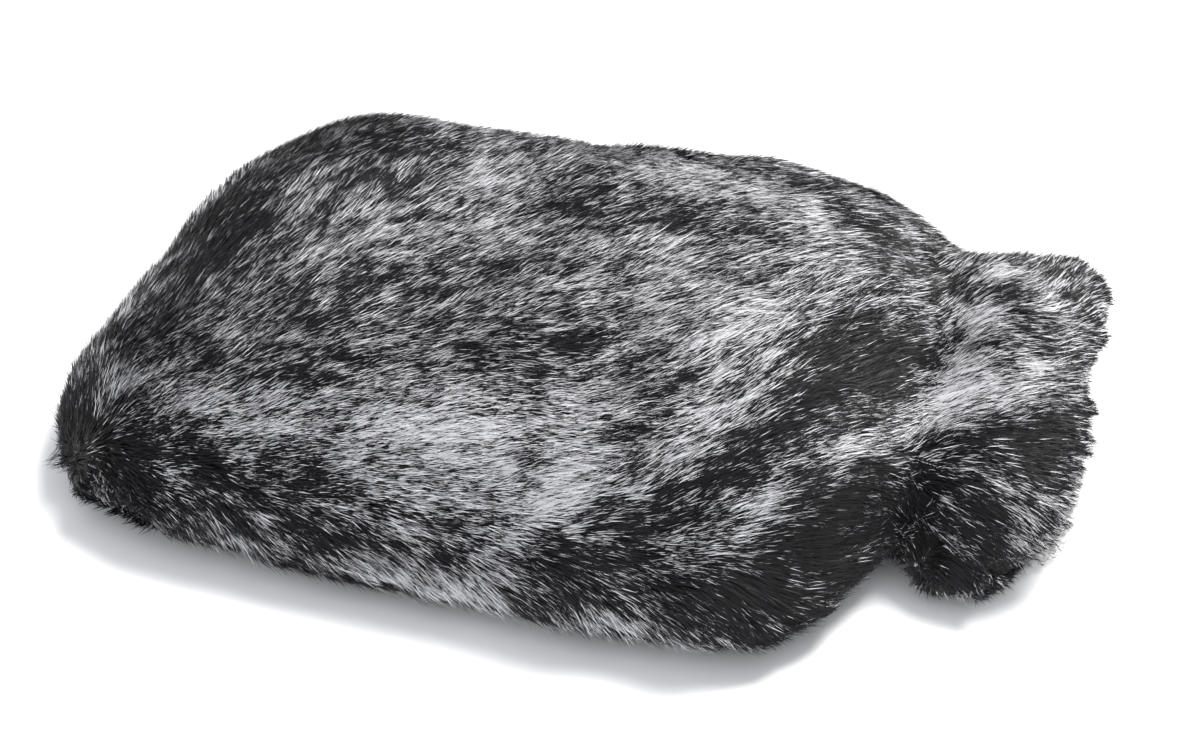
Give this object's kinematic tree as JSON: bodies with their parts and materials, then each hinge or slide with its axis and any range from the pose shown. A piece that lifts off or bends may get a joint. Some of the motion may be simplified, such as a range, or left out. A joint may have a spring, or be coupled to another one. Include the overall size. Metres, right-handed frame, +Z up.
{
  "type": "hot water bottle cover",
  "caption": "Long-pile faux fur cover for a hot water bottle, filled out and lying on its back, with a drawn-in neck and a flared open collar.",
  "frame": {"origin": "centre of the bounding box, on the surface the cover lies on", "axes": "+X along the cover from its closed bottom end to the open collar, +Z up from the surface through the front panel"},
  "size_m": [0.3872, 0.2556, 0.0827],
  "materials": {
    "faux_fur": "long dense pile, near black at the root with silver-grey tips"
  },
  "bodies": {
    "root": {"front_panel": "faux_fur", "back_panel": "faux_fur"}
  },
  "joints": []
}
